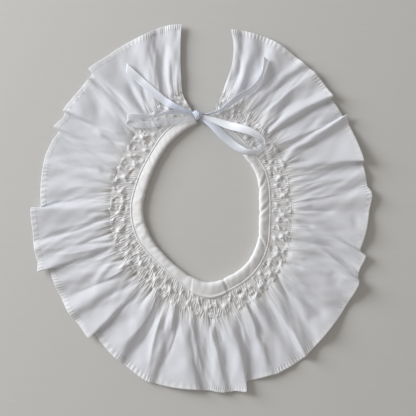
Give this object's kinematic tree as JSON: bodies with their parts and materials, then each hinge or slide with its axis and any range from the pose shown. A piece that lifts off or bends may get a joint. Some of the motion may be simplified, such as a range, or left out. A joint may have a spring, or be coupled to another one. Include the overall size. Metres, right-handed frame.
{
  "type": "embroidered collar",
  "caption": "Hand-smocked ruffle collar laid flat: a gathered cloth ring with a narrow neck binding, open at one side and tied there with a ribbon bow.",
  "frame": {"origin": "bottom centre of the bounding box: the surface the collar lies on is z = 0", "axes": "+Z up from that surface, +Y from the neck opening to the gap that the bow closes, +X to the right as seen from above with +Y up"},
  "size_m": [0.2732, 0.2946, 0.0137],
  "materials": {
    "cotton_lawn": "fine matt plain weave, slightly see-through",
    "cotton_binding": "matt plain weave, folded and edge-stitched",
    "satin_ribbon": "narrow satin ribbon with a soft sheen"
  },
  "bodies": {
    "root": {"smocked_ruffle": "cotton_lawn", "neck_binding": "cotton_binding", "ribbon_left_tail": "satin_ribbon", "ribbon_right_tail": "satin_ribbon", "ribbon_left_loop": "satin_ribbon", "ribbon_right_loop": "satin_ribbon", "bow_knot": "satin_ribbon"}
  },
  "joints": []
}
